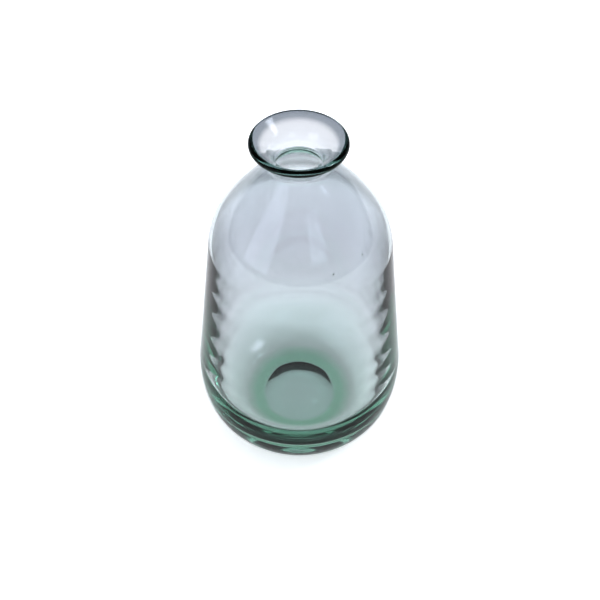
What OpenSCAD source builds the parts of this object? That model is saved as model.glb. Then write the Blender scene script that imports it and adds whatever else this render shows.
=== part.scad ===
// Blown glass bud vase: a heavy-based bottle with a short neck and a flared, fire-polished lip.
// The glass is one continuous wall. It is cut by level planes into the zones a glassmaker names,
// which meet face to face. The origin is on the axis, level with the ring that the vase stands on.

/* [Overall] */
// Overall height
height = 132; // [122:1:150]
// Widest diameter, low on the body
body_d = 75; // [71:1:80]
// Outer diameter of the flared lip
mouth_d = 32.2; // [30:0.2:36]

/* [Base] */
// Outer diameter of the flat ring that the vase stands on
foot_d = 39; // [37:0.5:41]
// Radius of the soft edge between that ring and the heel
foot_edge_r = 12; // [8:0.5:15]
// Angle below the horizontal that the glass faces where the soft edge meets the heel
foot_edge_turn = 60; // [56:1:66]
// Diameter of the hollow pushed up into the underside
punt_d = 29.6; // [24:0.4:32]
// Depth of that hollow at its middle
punt_h = 3.5; // [1:0.5:5]
// Height of the inside floor at its middle
floor_h = 8.5; // [8:0.5:12]
// Radius of the inside floor, which is a very shallow bowl
floor_r = 150; // [90:10:200]
// Radius of the inside corner between floor and wall
corner_r = 21; // [16:0.5:24]

/* [Body] */
// Radius of the belly, between the heel and the straight wall
belly_r = 50; // [40:1:60]
// Angle below the horizontal that the glass faces where the heel meets the belly
heel_turn = 13.5; // [8:0.5:18]
// Lean of the outer wall towards the axis
wall_lean = 5.8; // [4:0.1:7]
// Inside diameter at its widest, just above the corner
cavity_d = 68; // [66:0.5:69]

/* [Shoulder] */
// Radius of the shoulder where it leaves the wall
shoulder_r = 28; // [24:1:32]
// Steepness at which the shoulder opens into the dome
shoulder_turn = 32; // [28:1:36]
// Radius of the dome above the shoulder
dome_r = 100; // [87:1:104]
// Steepness of the dome where it meets the neck
dome_turn = 44.5; // [40:0.5:50]
// Thickness of the glass where wall and shoulder meet
shoulder_wall = 1.3; // [1.2:0.1:1.8]
// Radius of the dome on its inner side
inner_dome_r = 80; // [70:1:85]
// Steepness of the dome's inner side where it meets the throat
inner_dome_turn = 48; // [46:0.5:50]

/* [Neck and lip] */
// Outer diameter of the neck
neck_d = 19.6; // [19:0.2:20]
// Bore of the throat
throat_d = 15.2; // [14.8:0.2:16]
// Straight length of the neck between its two curves
neck_run = 0.3; // [0.1:0.1:1.5]
// Radius of the hollow curve from dome to neck
neck_blend_r = 2.5; // [2:0.5:4]
// Thickness of the flared lip
lip_t = 2.4; // [2.1:0.1:2.6]
// Flare of the lip away from the axis
lip_flare = 50; // [47:1:56]
// Radius of the curve from neck to lip, on its outer side
lip_blend_r = 5; // [4:0.1:6.4]
// Radius of the curve from throat to mouth
mouth_blend_r = 7.4; // [6.6:0.1:8]
// Radius of the inner edge between dome and throat
throat_blend_r = 4.4; // [3:0.1:5]

/* [Hidden] */
arc_steps = 16;
turn_facets = 180;
// Share of the inside corner that is cut off with the base
corner_in_base = 0.42;
glass_colour = [0.60, 0.72, 0.70, 0.45];

// The direction at an angle above the horizontal, in the half section [radius, height].
function facing(a) = [cos(a), sin(a)];

// Points of an arc that starts at p and turns the surface from facing a0 to facing a1.
// A negative radius makes a hollow curve.
function sweep(p, r, a0, a1) =
    [for (i = [0:arc_steps]) p + r * (facing(a0 + (a1 - a0) * i / arc_steps) - facing(a0))];

// The point reached from p by a straight run along a surface that faces a.
function run(p, length, a) = p + length * [-sin(a), cos(a)];

function last(points) = points[len(points) - 1];

// Outside, from the foot ring up to the straight wall.
heel_r = (body_d / 2 - foot_d / 2 - foot_edge_r * cos(foot_edge_turn) - belly_r * (1 - cos(heel_turn)))
    / (cos(heel_turn) - cos(foot_edge_turn));
foot_edge = sweep([foot_d / 2, 0], foot_edge_r, -90, -foot_edge_turn);
heel = sweep(last(foot_edge), heel_r, -foot_edge_turn, -heel_turn);
belly = sweep(last(heel), belly_r, -heel_turn, wall_lean);

// Offsets of the curves above the wall, each as [inwards, up].
shoulder_step = -shoulder_r * (facing(shoulder_turn) - facing(wall_lean));
dome_step = -dome_r * (facing(dome_turn) - facing(shoulder_turn));
neck_step = neck_blend_r * [1 - cos(dome_turn), sin(dome_turn)];

// Lip: a round bead on a flared sheet of even thickness.
bead_r = lip_t / 2;
bead_centre = [mouth_d / 2 - bead_r, height - bead_r];
lip_out = -lip_flare;
lip_in = 180 - lip_flare;
lip_under = bead_centre + bead_r * facing(lip_out);
neck_r = neck_d / 2;
lip_curve_in = lip_blend_r * (1 - cos(lip_flare));
lip_straight = (lip_under[0] - neck_r - lip_curve_in) / sin(lip_flare);
neck_top = lip_under[1] - lip_straight * cos(lip_flare) - lip_blend_r * sin(lip_flare);

// The straight wall takes up what height is left, so that the dome lands on the neck.
neck_foot = neck_top - neck_run;
curves_up = -shoulder_step[1] - dome_step[1] + neck_step[1];
curves_in = shoulder_step[0] + dome_step[0] + neck_step[0];
span_up = neck_foot - last(belly)[1] - curves_up;
span_in = last(belly)[0] - neck_r - curves_in;
wall_run = (span_up - span_in / tan(dome_turn)) / (cos(wall_lean) - sin(wall_lean) / tan(dome_turn));

wall_top = run(last(belly), wall_run, wall_lean);
shoulder_curve = sweep(wall_top, shoulder_r, wall_lean, shoulder_turn);
dome = sweep(last(shoulder_curve), dome_r, shoulder_turn, dome_turn);
neck_curve = sweep([neck_r + neck_step[0], neck_foot - neck_step[1]], -neck_blend_r, dome_turn, 0);
lip_curve = sweep([neck_r, neck_top], -lip_blend_r, 0, lip_out);
bead = sweep(lip_under, bead_r, lip_out, lip_in);

// Inside, from the floor up to the mouth.
floor_turn = asin((cavity_d / 2 - corner_r) / (floor_r - corner_r));
floor_curve = [for (i = [0:arc_steps]) let (a = floor_turn * i / arc_steps)
    [floor_r * sin(a), floor_h + floor_r * (1 - cos(a))]];
inner_shoulder_start = wall_top - shoulder_wall * facing(wall_lean);
corner_level = floor_h + corner_r;
cavity_lean = atan((cavity_d / 2 - inner_shoulder_start[0]) / (inner_shoulder_start[1] - corner_level));
corner = sweep(last(floor_curve), corner_r, floor_turn - 90, cavity_lean);
inner_shoulder_r = shoulder_r - shoulder_wall;
inner_shoulder = sweep(inner_shoulder_start, inner_shoulder_r, wall_lean, shoulder_turn);
inner_dome = sweep(last(inner_shoulder), inner_dome_r, shoulder_turn, inner_dome_turn);
throat_r = throat_d / 2;
throat_in = throat_r + throat_blend_r * (1 - cos(inner_dome_turn));
throat_slope = (last(inner_dome)[0] - throat_in) / sin(inner_dome_turn);
throat_foot = run(last(inner_dome), throat_slope, inner_dome_turn);
throat_curve = sweep(throat_foot, -throat_blend_r, inner_dome_turn, 0);
mouth_in = mouth_blend_r * (1 - cos(lip_flare));
mouth_straight = (last(bead)[0] - throat_r - mouth_in) / sin(lip_flare);
throat_top = last(bead)[1] - mouth_straight * cos(lip_flare) - mouth_blend_r * sin(lip_flare);
mouth_curve = sweep([throat_r, throat_top], -mouth_blend_r, 0, lip_out);

// Punt: a shallow spherical hollow.
punt_r = (pow(punt_d / 2, 2) + pow(punt_h, 2)) / (2 * punt_h);

// Levels of the cuts between zones.
base_top = floor_h + corner_in_base * corner_r;
body_top = wall_top[1];
shoulder_top = neck_foot - neck_step[1];

// Half section of the outside, closed along the axis.
module outer_section() {
    polygon(concat([[0, 0]], foot_edge, heel, belly, shoulder_curve, dome, neck_curve, lip_curve, bead,
        [[0, last(bead)[1]]]));
}

// Half section of the hollow, from the floor out through the mouth.
module hollow_section() {
    polygon(concat(floor_curve, corner, [inner_shoulder_start], inner_shoulder, inner_dome, throat_curve,
        mouth_curve, [last(bead)], [[last(bead)[0], height + 1], [0, height + 1]]));
}

// Half section of the punt.
module punt_section() {
    translate([0, punt_h - punt_r]) circle(r = punt_r, $fn = turn_facets);
}

// The glass between two levels.
module zone(low, high) {
    rotate_extrude($fn = turn_facets) intersection() {
        difference() {
            outer_section();
            hollow_section();
            punt_section();
        }
        translate([0, low]) square([body_d, high - low]);
    }
}

// Thick disc of glass with the heel, the foot ring and the punt
module base() {
    color(glass_colour) zone(0, base_top);
}

// Leaning wall of the body, thick at the bottom and thinner upwards
module body() {
    color(glass_colour) zone(base_top, body_top);
}

// Domed shoulder, up to the foot of the neck
module shoulder() {
    color(glass_colour) zone(body_top, shoulder_top);
}

// Short neck around the throat
module neck() {
    color(glass_colour) zone(shoulder_top, neck_top);
}

// Flared lip with its rounded edge
module lip() {
    color(glass_colour) zone(neck_top, height);
}

base();
body();
shoulder();
neck();
lip();
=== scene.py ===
import math

import bpy
import numpy as np
from mathutils import Matrix, Vector


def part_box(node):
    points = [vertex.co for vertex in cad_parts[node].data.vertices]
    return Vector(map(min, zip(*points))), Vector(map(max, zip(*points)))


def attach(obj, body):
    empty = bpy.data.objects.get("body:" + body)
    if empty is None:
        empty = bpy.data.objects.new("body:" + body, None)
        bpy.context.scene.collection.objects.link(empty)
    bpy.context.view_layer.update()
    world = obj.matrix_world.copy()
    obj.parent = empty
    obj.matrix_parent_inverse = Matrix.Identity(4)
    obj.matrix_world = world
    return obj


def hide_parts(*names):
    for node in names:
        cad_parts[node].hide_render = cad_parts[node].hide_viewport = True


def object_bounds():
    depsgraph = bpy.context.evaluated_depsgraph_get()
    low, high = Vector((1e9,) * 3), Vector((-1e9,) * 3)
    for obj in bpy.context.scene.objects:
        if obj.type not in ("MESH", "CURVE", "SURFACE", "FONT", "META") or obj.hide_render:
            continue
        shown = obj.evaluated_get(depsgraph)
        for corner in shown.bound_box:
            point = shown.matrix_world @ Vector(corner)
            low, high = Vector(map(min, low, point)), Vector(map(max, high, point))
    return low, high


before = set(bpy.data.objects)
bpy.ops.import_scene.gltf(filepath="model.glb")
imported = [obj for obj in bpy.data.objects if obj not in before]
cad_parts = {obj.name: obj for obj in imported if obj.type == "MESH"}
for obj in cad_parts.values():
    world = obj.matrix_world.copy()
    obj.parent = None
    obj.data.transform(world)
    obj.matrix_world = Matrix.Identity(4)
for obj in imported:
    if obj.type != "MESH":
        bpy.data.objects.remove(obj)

CAD_LOW, CAD_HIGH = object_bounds()
MM = 0.001

# ---------------------------------------------------------------------------------------------
# Sizes of the vase, in millimetres. Overall sizes come from the frame; the rest are the maker's.
# ---------------------------------------------------------------------------------------------
HEIGHT = (CAD_HIGH.z - CAD_LOW.z) / MM
BODY_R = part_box("body")[1].x / MM
MOUTH_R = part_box("lip")[1].x / MM
FOOT_R = 19.5
FOOT_EDGE_R = 12.0
FOOT_EDGE_TURN = 60.0
PUNT_R = 14.8
PUNT_H = 3.5
FLOOR_H = 8.5
FLOOR_BOWL_R = 150.0
CORNER_R = 21.0
BELLY_R = 50.0
HEEL_TURN = 13.5
WALL_LEAN = 5.8
CAVITY_R = 34.0
SHOULDER_R = 28.0
SHOULDER_TURN = 32.0
DOME_R = 100.0
DOME_TURN = 44.5
SHOULDER_WALL = 1.3
INNER_DOME_R = 80.0
INNER_DOME_TURN = 48.0
NECK_R = 9.8
THROAT_R = 7.6
NECK_RUN = 0.3
NECK_BLEND_R = 2.5
LIP_T = 2.4
LIP_FLARE = 50.0
LIP_BLEND_R = 5.0
MOUTH_BLEND_R = 7.4
THROAT_BLEND_R = 4.4

# Points along each stretch of the half section, and round the vase
STEPS = {
    "punt": 20, "ring": 4, "edge": 10, "heel": 34, "belly": 16, "wall": 60, "shoulder": 18, "dome": 20,
    "neck": 14, "flare": 26, "bead": 28, "mouth": 30, "throat": 12, "dome_run": 6, "inner_dome": 18,
    "inner_wall": 80, "corner": 30, "floor": 28,
}
AROUND = 216
SAME_POINT = 1e-6

# Waves round the inside of the wall: pitch, depth, and the heights that they fade in from and out to
RIPPLE_PITCH = 9.2
RIPPLE_DEPTH = 0.028
RIPPLE_FROM = 20.0
RIPPLE_TO = 88.0
RIPPLE_FADE_IN = 10.0
RIPPLE_FADE_OUT = 14.0

# Drift of the waves, in shares of the pitch: once round the vase from a bearing in radians, twice
# round and slowly upwards, and upwards alone, with the heights that one radian takes
DRIFT_ROUND = 0.35
DRIFT_BEARING = 0.8
DRIFT_TWIST = 0.22
DRIFT_TWIST_RISE = 21.0
DRIFT_UP = 0.12
DRIFT_UP_RISE = 6.5

# Change of the waves' depth: three times round the vase, and from the front and back to the sides
DEPTH_CHANGE = 0.2
DEPTH_CHANGE_RISE = 17.0
DEPTH_AT_FRONT = 0.25

# How far the lip stands off the body's axis, from the shoulder up, and the seeds in the wall, each
# as [bearing, height, half length, half width]
LIP_OFFSET = np.array([-0.8, 0.0])
LIP_OFFSET_FROM = 108.0
LIP_OFFSET_TO = 126.0
SEEDS = [[-42.5, 99.6, 0.34, 0.22], [-67.6, 98.0, 0.30, 0.24]]
SEED_DEPTH = 0.75
SEED_RINGS = 9
SEED_AROUND = 14

# Colour that light takes each time it crosses a wall, by height, as [height, colour]: partly the
# glass's own tint and partly painted shade, lightest low down and darkest at the lip's bead. On the
# underside, by distance from the axis, as [radius, colour], fading out between two heights: painted
# shade, a dark
# green ring where the foot meets the paper. At a slant past EDGE_FROM, towards EDGE_TINT_AND_SHADE:
# partly the longer way through the wall and partly painted shade of the dark bands at the sides. Depth
# of glass adds absorption of its own.
TINT_AND_SHADE_STOPS = [
    (14.0, (0.95, 0.95, 0.96, 1.0)),
    (35.0, (0.88, 0.85, 0.88, 1.0)),
    (65.0, (0.82, 0.80, 0.84, 1.0)),
    (90.0, (0.79, 0.80, 0.83, 1.0)),
    (110.0, (0.79, 0.80, 0.83, 1.0)),
    (120.0, (0.83, 0.83, 0.86, 1.0)),
    (129.8, (0.75, 0.735, 0.76, 1.0)),
    # Painted shade: the lip's bead, darkest of all
    (131.0, (0.25, 0.27, 0.31, 1.0)),
]
# Painted shade under the foot: a dark green ring where it meets the paper, lighter inside and out
FOOT_SHADE_STOPS = [
    (13.5, (0.74, 0.93, 0.89, 1.0)),
    (15.5, (0.47, 0.83, 0.65, 1.0)),
    (18.0, (0.47, 0.83, 0.65, 1.0)),
    (23.5, (0.94, 0.95, 0.95, 1.0)),
]
FOOT_SHADE_TOP = (4.0, 6.0)
# Painted shade at a slant, partly for the longer way through the wall
EDGE_TINT_AND_SHADE = (0.35, 0.37, 0.39, 1.0)
EDGE_FROM = 0.5
DEPTH_COLOUR = (0.12, 0.55, 0.40, 1.0)
DEPTH_DENSITY = 27.0
GLASS_IOR = 1.5

# White paper: the half side of the sheet, and how far it lies under the foot
PAPER_HALF_SIDE = 3000.0
PAPER_GAP = 0.1
PAPER_COLOUR = (0.90, 0.90, 0.89, 1.0)

# Brightness of the studio, where 1 is white paper. The wall fades into the room between two levels of
# the direction's height. The key glow fades out between two angles from its middle, in degrees.
AIR_COLOUR = (0.93, 0.95, 1.0, 1.0)
PAPER_GLOW = 0.5
SOFT_LIGHT = 0.85
WALL_GLOW = 0.65
ROOM_GLOW = 0.12
WALL_LEVELS = (0.12, 0.40)
KEY_GLOW = 10.0
KEY_PLACE = (1.0, 0.1, 1.15)
KEY_SPREAD = (1.0, 11.0)
PRINT_GAMMA = 0.6
LIGHT_BOUNCES = 32
MIRROR_BOUNCES = 16

# Camera: distance from what it aims at, height of that on the axis, and the angle it looks down at
CAMERA_DISTANCE = 431.9
CAMERA_AIM_H = 58.0
CAMERA_ELEVATION = 47.1
CAMERA_ROLL = 0.5
CAMERA_LENS = 72.0
CAMERA_SENSOR = 36.0
CAMERA_NEAREST = 10.0


# ---------------------------------------------------------------------------------------------
# The half section: points [radius, height] along tangent arcs and straight runs
# ---------------------------------------------------------------------------------------------
def facing(degrees):
    """Unit direction at an angle above the horizontal, in the half section."""
    a = np.radians(degrees)
    return np.stack([np.cos(a), np.sin(a)], axis=-1)


def arc(start, radius, a0, a1, count):
    """Points of an arc from start, along which the surface turns from facing a0 to facing a1:
    start + radius * (facing(a) - facing(a0)). A negative radius makes a hollow curve."""
    a = np.linspace(a0, a1, count)
    return start + radius * (facing(a) - facing(a0))


def run(start, length, a, count=2):
    """Points along a straight run of that length on a surface that faces a."""
    way = np.array([-math.sin(math.radians(a)), math.cos(math.radians(a))])
    return start + np.linspace(0, length, count)[:, None] * way


def turn(a):
    """Cosine and sine of an angle in degrees."""
    return math.cos(math.radians(a)), math.sin(math.radians(a))


def outer_outline():
    """Outside of the half section, from the foot ring up to the top of the lip's bead: soft edge,
    heel, belly, leaning wall, shoulder, dome, neck, flare and bead, each tangent to the last. The
    wall's length is what brings the dome to the neck at the right height. Also gives the wall's top."""
    c, s = turn(HEEL_TURN)
    edge_c, _ = turn(FOOT_EDGE_TURN)
    heel_r = (BODY_R - FOOT_R - FOOT_EDGE_R * edge_c - BELLY_R * (1 - c)) / (c - edge_c)
    edge = arc(np.array([FOOT_R, 0.0]), FOOT_EDGE_R, -90, -FOOT_EDGE_TURN, STEPS["edge"])
    heel = arc(edge[-1], heel_r, -FOOT_EDGE_TURN, -HEEL_TURN, STEPS["heel"])
    belly = arc(heel[-1], BELLY_R, -HEEL_TURN, WALL_LEAN, STEPS["belly"])

    bead_r = LIP_T / 2
    bead_centre = np.array([MOUTH_R - bead_r, HEIGHT - bead_r])
    under = bead_centre + bead_r * facing(-LIP_FLARE)
    c, s = turn(LIP_FLARE)
    flare_run = (under[0] - NECK_R - LIP_BLEND_R * (1 - c)) / s
    neck_top = under[1] - flare_run * c - LIP_BLEND_R * s
    neck_foot = neck_top - NECK_RUN

    shoulder_step = SHOULDER_R * (facing(WALL_LEAN) - facing(SHOULDER_TURN))
    dome_step = DOME_R * (facing(SHOULDER_TURN) - facing(DOME_TURN))
    c, s = turn(DOME_TURN)
    neck_step = NECK_BLEND_R * np.array([1 - c, -s])
    span = belly[-1] - np.array([NECK_R, neck_foot]) - shoulder_step - dome_step - neck_step
    wc, ws = turn(WALL_LEAN)
    wall_run = (-span[1] - span[0] * c / s) / (wc - ws * c / s)

    wall = run(belly[-1], wall_run, WALL_LEAN, STEPS["wall"])
    shoulder = arc(wall[-1], SHOULDER_R, WALL_LEAN, SHOULDER_TURN, STEPS["shoulder"])
    dome = arc(shoulder[-1], DOME_R, SHOULDER_TURN, DOME_TURN, STEPS["dome"])
    neck_start = np.array([NECK_R, neck_foot]) + neck_step
    neck = arc(neck_start, -NECK_BLEND_R, DOME_TURN, 0, STEPS["neck"])
    flare = arc(np.array([NECK_R, neck_top]), -LIP_BLEND_R, 0, -LIP_FLARE, STEPS["flare"])
    bead = arc(under, bead_r, -LIP_FLARE, 180 - LIP_FLARE, STEPS["bead"])
    return [edge, heel, belly, wall, shoulder, dome, neck, flare, bead], wall[-1]


def inner_outline(bead_end, wall_top):
    """Inside of the half section, from the bead down to the middle of the floor: mouth, throat,
    dome, shoulder, wall, corner and floor."""
    c, s = turn(LIP_FLARE)
    mouth_run = (bead_end[0] - THROAT_R - MOUTH_BLEND_R * (1 - c)) / s
    throat_top = bead_end[1] - mouth_run * c - MOUTH_BLEND_R * s
    mouth = arc(np.array([THROAT_R, throat_top]), -MOUTH_BLEND_R, 0, -LIP_FLARE, STEPS["mouth"])

    shoulder_start = wall_top - SHOULDER_WALL * facing(WALL_LEAN)
    inner_r = SHOULDER_R - SHOULDER_WALL
    shoulder = arc(shoulder_start, inner_r, WALL_LEAN, SHOULDER_TURN, STEPS["shoulder"])
    dome = arc(shoulder[-1], INNER_DOME_R, SHOULDER_TURN, INNER_DOME_TURN, STEPS["inner_dome"])
    c, s = turn(INNER_DOME_TURN)
    slope = (dome[-1][0] - THROAT_R - THROAT_BLEND_R * (1 - c)) / s
    dome_run = run(dome[-1], slope, INNER_DOME_TURN, STEPS["dome_run"])
    throat = arc(dome_run[-1], -THROAT_BLEND_R, INNER_DOME_TURN, 0, STEPS["throat"])

    floor_turn = math.degrees(math.asin((CAVITY_R - CORNER_R) / (FLOOR_BOWL_R - CORNER_R)))
    bowl_middle = np.array([0.0, FLOOR_H + FLOOR_BOWL_R])
    floor = bowl_middle + FLOOR_BOWL_R * facing(np.linspace(0, floor_turn, STEPS["floor"]) - 90)
    rise = shoulder_start[1] - FLOOR_H - CORNER_R
    lean = math.degrees(math.atan((CAVITY_R - shoulder_start[0]) / rise))
    corner = arc(floor[-1], CORNER_R, floor_turn - 90, lean, STEPS["corner"])
    wall = np.linspace(corner[-1], shoulder_start, STEPS["inner_wall"])
    upwards = [floor, corner, wall, shoulder, dome, dome_run, throat, mouth]
    return [part[::-1] for part in reversed(upwards)]


def punt_outline():
    """Underside of the half section, from the middle of the punt out to the foot ring."""
    r = (PUNT_R ** 2 + PUNT_H ** 2) / (2 * PUNT_H)
    half = math.degrees(math.asin(PUNT_R / r))
    hollow = np.array([0.0, PUNT_H - r]) + r * facing(90 - np.linspace(0, half, STEPS["punt"]))
    ring = np.linspace([PUNT_R, 0.0], [FOOT_R, 0.0], STEPS["ring"])
    return [hollow, ring]


def joined(parts):
    """One outline from several, with repeated points taken out."""
    points = np.concatenate(parts)
    keep = np.r_[True, np.hypot(*np.diff(points, axis=0).T) > SAME_POINT]
    return points[keep]


# ---------------------------------------------------------------------------------------------
# Mesh helpers
# ---------------------------------------------------------------------------------------------
def add_mesh(name, points, quads, tris=()):
    """A smooth-shaded mesh object from whole arrays of points and faces."""
    mesh = bpy.data.meshes.new(name)
    loops = np.concatenate([np.ravel(tris), np.ravel(quads)]).astype(np.int32)
    sizes = np.concatenate([np.full(len(tris), 3), np.full(len(quads), 4)]).astype(np.int32)
    mesh.vertices.add(len(points))
    mesh.vertices.foreach_set("co", np.ascontiguousarray(points, dtype=np.float32).ravel())
    mesh.loops.add(len(loops))
    mesh.loops.foreach_set("vertex_index", loops)
    mesh.polygons.add(len(sizes))
    mesh.polygons.foreach_set("loop_start", np.r_[0, np.cumsum(sizes)[:-1]].astype(np.int32))
    mesh.polygons.foreach_set("use_smooth", np.ones(len(sizes), dtype=bool))
    mesh.update(calc_edges=True)
    mesh.validate()
    piece = bpy.data.objects.new(name, mesh)
    bpy.context.scene.collection.objects.link(piece)
    return piece


def closed_skin(rings, first_pole, last_pole):
    """Points, quads and triangles of a closed skin: rings of points, shape [rings, around, 3], with
    one pole before the first ring and one after the last."""
    count, around = rings.shape[:2]
    i = np.arange(count - 1)[:, None] * around
    j = np.arange(around)[None, :]
    k = (j + 1) % around
    quads = np.stack([i + j, i + k, i + around + k, i + around + j], axis=-1).reshape(-1, 4)
    j, k = j.ravel(), k.ravel()
    first, final = count * around, count * around + 1
    top = (count - 1) * around
    first_cap = np.stack([np.full(around, first), k, j], axis=-1)
    last_cap = np.stack([np.full(around, final), top + j, top + k], axis=-1)
    points = np.concatenate([rings.reshape(-1, 3), [first_pole, last_pole]])
    return points, quads, np.concatenate([first_cap, last_cap])


def turned(outline, around, swell):
    """The outline, from one point on the axis to another, turned about the axis: rings of around
    points at [r cos t, r sin t, h], where r is the outline's radius plus swell(index, h, t), with
    one point at each pole. Faces point outwards when the outline runs up the outside and down the
    inside."""
    t = np.linspace(0, 2 * math.pi, around, endpoint=False)
    r, h = outline[1:-1, 0][:, None], outline[1:-1, 1][:, None]
    r = r + swell(np.arange(1, len(outline) - 1)[:, None], h, t)
    rings = np.stack([r * np.cos(t), r * np.sin(t), h + 0 * t], axis=-1)
    return closed_skin(rings, [0, 0, outline[0, 1]], [0, 0, outline[-1, 1]])


def gathered(skins):
    """One set of points, quads and triangles from several."""
    starts = np.cumsum([0] + [len(points) for points, _, _ in skins])
    points = np.concatenate([skin[0] for skin in skins])
    quads = np.concatenate([skin[1] + start for skin, start in zip(skins, starts)])
    tris = np.concatenate([skin[2] + start for skin, start in zip(skins, starts)])
    return points, quads, tris


# ---------------------------------------------------------------------------------------------
# Glass
# ---------------------------------------------------------------------------------------------
def stepped(nodes, links, length, full, stops):
    """The colour that a length in metres has on a ramp of stops, each [millimetres, colour], from 0
    to full millimetres."""
    share = nodes.new("ShaderNodeMath")
    share.operation = "DIVIDE"
    share.inputs[1].default_value = full * MM
    links.new(length, share.inputs[0])
    ramp = nodes.new("ShaderNodeValToRGB")
    elements = ramp.color_ramp.elements
    elements.remove(elements[1])
    for place, colour in stops:
        elements.new(place / full).color = colour
    elements.remove(elements[0])
    links.new(share.outputs[0], ramp.inputs["Fac"])
    return ramp.outputs["Color"]


def glass_with_painted_shade():
    """Clear glass. Light that crosses a wall takes a colour that goes by height: partly the glass's own
    tint and partly painted shade, darkest at the lip's bead. On the underside it goes by distance from
    the axis as painted shade, a green ring where the foot meets the paper. It darkens where it crosses
    at a slant, partly as on its longer way through the wall and partly as painted shade at the sides.
    Depth of glass adds absorption."""
    material = bpy.data.materials.new("glass_with_painted_shade")
    material.use_nodes = True
    nodes, links = material.node_tree.nodes, material.node_tree.links
    glass = nodes["Principled BSDF"]
    place = nodes.new("ShaderNodeTexCoord")
    split = nodes.new("ShaderNodeSeparateXYZ")
    links.new(place.outputs["Object"], split.inputs[0])
    # Colour by height: partly the glass's own tint, partly painted shade, darkest at the lip's bead
    height_tint_and_shade = stepped(nodes, links, split.outputs["Z"], HEIGHT, TINT_AND_SHADE_STOPS)
    level = nodes.new("ShaderNodeVectorMath")
    level.operation = "MULTIPLY"
    level.inputs[1].default_value = (1.0, 1.0, 0.0)
    links.new(place.outputs["Object"], level.inputs[0])
    radius = nodes.new("ShaderNodeVectorMath")
    radius.operation = "LENGTH"
    links.new(level.outputs["Vector"], radius.inputs[0])
    # Painted shade: a dark green ring where the foot meets the paper
    painted_foot_shade = stepped(nodes, links, radius.outputs["Value"], BODY_R, FOOT_SHADE_STOPS)
    under = nodes.new("ShaderNodeMapRange")
    under.inputs["From Min"].default_value = FOOT_SHADE_TOP[0] * MM
    under.inputs["From Max"].default_value = FOOT_SHADE_TOP[1] * MM
    links.new(split.outputs["Z"], under.inputs["Value"])
    tint_and_shade = nodes.new("ShaderNodeMix")
    tint_and_shade.data_type = "RGBA"
    links.new(under.outputs["Result"], tint_and_shade.inputs["Factor"])
    links.new(painted_foot_shade, tint_and_shade.inputs["A"])
    links.new(height_tint_and_shade, tint_and_shade.inputs["B"])
    # Darkening at a slant: partly the longer way through the wall, partly painted shade at the sides
    slant = nodes.new("ShaderNodeLayerWeight")
    slant.inputs["Blend"].default_value = 0.5
    edge = nodes.new("ShaderNodeMapRange")
    edge.inputs["From Min"].default_value = EDGE_FROM
    edge.inputs["From Max"].default_value = 1.0
    links.new(slant.outputs["Facing"], edge.inputs["Value"])
    slanted_tint_and_shade = nodes.new("ShaderNodeMix")
    slanted_tint_and_shade.data_type = "RGBA"
    slanted_tint_and_shade.blend_type = "MULTIPLY"
    slanted_tint_and_shade.inputs["B"].default_value = EDGE_TINT_AND_SHADE
    links.new(tint_and_shade.outputs["Result"], slanted_tint_and_shade.inputs["A"])
    links.new(edge.outputs["Result"], slanted_tint_and_shade.inputs["Factor"])
    links.new(slanted_tint_and_shade.outputs["Result"], glass.inputs["Base Color"])
    glass.inputs["Transmission Weight"].default_value = 1.0
    glass.inputs["IOR"].default_value = GLASS_IOR
    glass.inputs["Roughness"].default_value = 0.0
    depth = nodes.new("ShaderNodeVolumeAbsorption")
    depth.inputs["Color"].default_value = DEPTH_COLOUR
    depth.inputs["Density"].default_value = DEPTH_DENSITY
    links.new(depth.outputs["Volume"], nodes["Material Output"].inputs["Volume"])
    return material


def seed(bearing, height, half_length, half_width, outside):
    """A small air bubble in the wall, drawn out along the way the glass was pulled: the ellipsoid
    middle + length cos u along + width sin u (cos v outward + sin v across). Its faces point into
    the bubble, which is out of the glass."""
    radius = np.interp(height, outside[:, 1], outside[:, 0]) - SEED_DEPTH
    c, s = turn(bearing)
    middle, outward = np.array([radius * c, radius * s, height]), np.array([c, s, 0.0])
    across = np.array([-s, c, 0.0])
    along = np.array([0.0, 0.0, 1.0])
    u = np.linspace(0, math.pi, SEED_RINGS)[1:-1, None, None]
    v = np.linspace(0, 2 * math.pi, SEED_AROUND, endpoint=False)[None, :, None]
    side = np.cos(v) * outward + np.sin(v) * across
    rings = middle + half_length * np.cos(u) * along + half_width * np.sin(u) * side
    return closed_skin(rings, middle + half_length * along, middle - half_length * along)


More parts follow.
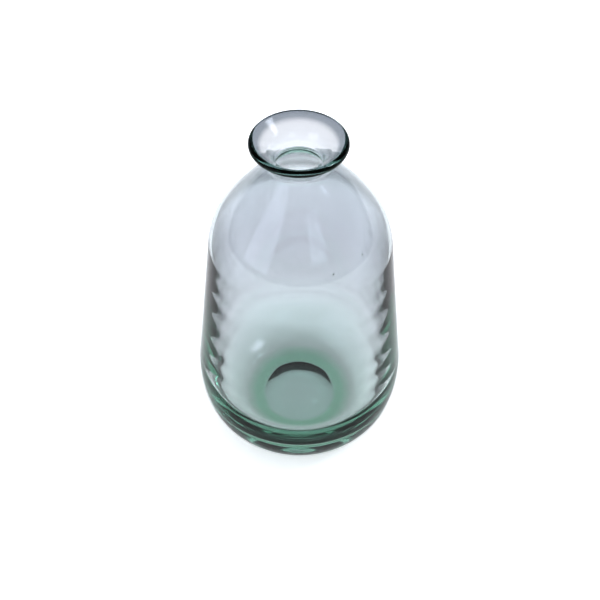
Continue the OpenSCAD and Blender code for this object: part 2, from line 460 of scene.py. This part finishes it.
def make_vase():
    """The whole vase as one closed wall of glass, with its seeds. The lip stands off the axis by
    LIP_OFFSET, which grows from nothing as the smooth step 3 s^2 - 2 s^3 of the height."""
    outside, wall_top = outer_outline()
    inside = inner_outline(outside[-1][-1], wall_top)
    outline = joined(punt_outline() + outside + inside)
    outline[0, 0] = outline[-1, 0] = 0.0
    rim = np.argmax(outline[:, 1])

    def ripple(index, h, t):
        """Waves that blowing leaves round the inside of the wall, low down where it is thick: a
        sine of the height whose phase drifts and whose depth varies round the vase."""
        phase = h / RIPPLE_PITCH + DRIFT_ROUND * np.sin(t + DRIFT_BEARING)
        phase = phase + DRIFT_TWIST * np.sin(2 * t + h / DRIFT_TWIST_RISE)
        phase = phase + DRIFT_UP * np.sin(h / DRIFT_UP_RISE)
        round_it = 1 - DEPTH_CHANGE + DEPTH_CHANGE * np.sin(3 * t + h / DEPTH_CHANGE_RISE)
        to_sides = DEPTH_AT_FRONT + (1 - DEPTH_AT_FRONT) * np.cos(t) ** 2
        fade_in = np.clip((h - RIPPLE_FROM) / RIPPLE_FADE_IN, 0, 1)
        fade_out = np.clip((RIPPLE_TO - h) / RIPPLE_FADE_OUT, 0, 1)
        wave = RIPPLE_DEPTH * round_it * to_sides * fade_in * fade_out * np.sin(2 * math.pi * phase)
        return np.where(index > rim, wave, 0)

    below_neck = np.concatenate(outside[:-3])
    skins = [turned(outline, AROUND, ripple)] + [seed(*values, below_neck) for values in SEEDS]
    points, quads, tris = gathered(skins)
    lean = np.clip((points[:, 2] - LIP_OFFSET_FROM) / (LIP_OFFSET_TO - LIP_OFFSET_FROM), 0, 1)
    points[:, :2] += (lean * lean * (3 - 2 * lean))[:, None] * LIP_OFFSET
    vase = add_mesh("glass_vase", points * MM, quads, tris)
    vase.data.materials.append(glass_with_painted_shade())
    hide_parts("base", "body", "shoulder", "neck", "lip")
    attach(vase, "root")


# ---------------------------------------------------------------------------------------------
# Studio
# ---------------------------------------------------------------------------------------------
def make_floor():
    """A wide plain sheet of white paper on a light table, a hair's breadth under the foot."""
    corners = PAPER_HALF_SIDE * np.array([[-1, -1], [1, -1], [1, 1], [-1, 1]])
    points = np.column_stack([corners, np.full(4, -PAPER_GAP)]) * MM
    paper = add_mesh("paper_floor", points, np.array([[0, 1, 2, 3]]))
    material = bpy.data.materials.new("white_paper")
    material.use_nodes = True
    shader = material.node_tree.nodes["Principled BSDF"]
    shader.inputs["Base Color"].default_value = PAPER_COLOUR
    shader.inputs["Roughness"].default_value = 0.9
    shader.inputs["Emission Color"].default_value = (1.0, 1.0, 1.0, 1.0)
    shader.inputs["Emission Strength"].default_value = PAPER_GLOW
    paper.data.materials.append(material)


def add_light(name, place, size, brightness, colour):
    """A soft rectangular light at place, aimed at the middle of the vase. Brightness is that of its
    face, where 1 is white paper."""
    lamp = bpy.data.lights.new(name, "AREA")
    lamp.shape = "RECTANGLE"
    lamp.size, lamp.size_y = size
    lamp.energy = brightness * math.pi * size[0] * size[1]
    lamp.color = colour
    piece = bpy.data.objects.new(name, lamp)
    piece.location = place
    aim = Vector((0, 0, HEIGHT * MM / 2)) - Vector(place)
    piece.rotation_euler = aim.to_track_quat("-Z", "Y").to_euler()
    bpy.context.scene.collection.objects.link(piece)


def make_lights():
    """Soft light on the paper from all round, in a dim room with a pale wall round the table, a soft
    bright glow on the right and two dim windows. What has once met the paper is lit by the soft
    light; what the glass mirrors is the room."""
    world = bpy.data.worlds.new("studio")
    world.use_nodes = True
    nodes, links = world.node_tree.nodes, world.node_tree.links
    way = nodes.new("ShaderNodeTexCoord")
    split = nodes.new("ShaderNodeSeparateXYZ")
    links.new(way.outputs["Generated"], split.inputs[0])
    wall = nodes.new("ShaderNodeMapRange")
    wall.interpolation_type = "SMOOTHSTEP"
    wall.inputs["From Min"].default_value = WALL_LEVELS[0]
    wall.inputs["From Max"].default_value = WALL_LEVELS[1]
    wall.inputs["To Min"].default_value = WALL_GLOW
    wall.inputs["To Max"].default_value = ROOM_GLOW
    links.new(split.outputs["Z"], wall.inputs["Value"])
    toward = nodes.new("ShaderNodeVectorMath")
    toward.operation = "DOT_PRODUCT"
    toward.inputs[1].default_value = Vector(KEY_PLACE).normalized()
    links.new(way.outputs["Generated"], toward.inputs[0])
    key = nodes.new("ShaderNodeMapRange")
    key.interpolation_type = "SMOOTHSTEP"
    key.inputs["From Min"].default_value = turn(KEY_SPREAD[1])[0]
    key.inputs["From Max"].default_value = turn(KEY_SPREAD[0])[0]
    key.inputs["To Min"].default_value = 0.0
    key.inputs["To Max"].default_value = KEY_GLOW
    links.new(toward.outputs["Value"], key.inputs["Value"])
    room = nodes.new("ShaderNodeMath")
    links.new(wall.outputs["Result"], room.inputs[0])
    links.new(key.outputs["Result"], room.inputs[1])
    ray = nodes.new("ShaderNodeLightPath")
    soft = nodes.new("ShaderNodeMix")
    links.new(ray.outputs["Diffuse Depth"], soft.inputs["Factor"])
    links.new(room.outputs[0], soft.inputs["A"])
    soft.inputs["B"].default_value = SOFT_LIGHT
    links.new(soft.outputs["Result"], nodes["Background"].inputs["Strength"])
    nodes["Background"].inputs["Color"].default_value = AIR_COLOUR
    bpy.context.scene.world = world
    add_light("left_window", place=(-1.1, -0.75, 0.75), size=(0.9, 1.1), brightness=1.0,
              colour=(0.86, 0.88, 1.0))
    add_light("right_window", place=(0.45, -0.95, 0.75), size=(0.45, 0.5), brightness=0.7,
              colour=(0.80, 0.92, 1.0))


def make_camera():
    """Looks down at the vase from in front, as a hand-held camera would."""
    target = Vector((0, 0, CAMERA_AIM_H * MM))
    c, s = turn(CAMERA_ELEVATION)
    lens = bpy.data.cameras.new("camera")
    lens.sensor_width = CAMERA_SENSOR
    lens.lens = CAMERA_LENS
    lens.clip_start = CAMERA_NEAREST * MM
    camera = bpy.data.objects.new("camera", lens)
    place = target + CAMERA_DISTANCE * MM * Vector((0, -c, s))
    look = (target - place).to_track_quat("-Z", "Y").to_matrix()
    roll = Matrix.Rotation(math.radians(CAMERA_ROLL), 3, "Z")
    camera.matrix_world = Matrix.Translation(place) @ (look @ roll).to_4x4()
    bpy.context.scene.collection.objects.link(camera)
    bpy.context.scene.camera = camera


def make_look():
    """Plain colour with a steeper print curve, and enough bounces for light to find its way through
    thick glass."""
    scene = bpy.context.scene
    scene.view_settings.view_transform = "Standard"
    scene.view_settings.gamma = PRINT_GAMMA
    scene.cycles.max_bounces = LIGHT_BOUNCES
    scene.cycles.transmission_bounces = LIGHT_BOUNCES
    scene.cycles.glossy_bounces = MIRROR_BOUNCES


make_vase()
make_floor()
make_lights()
make_camera()
make_look()
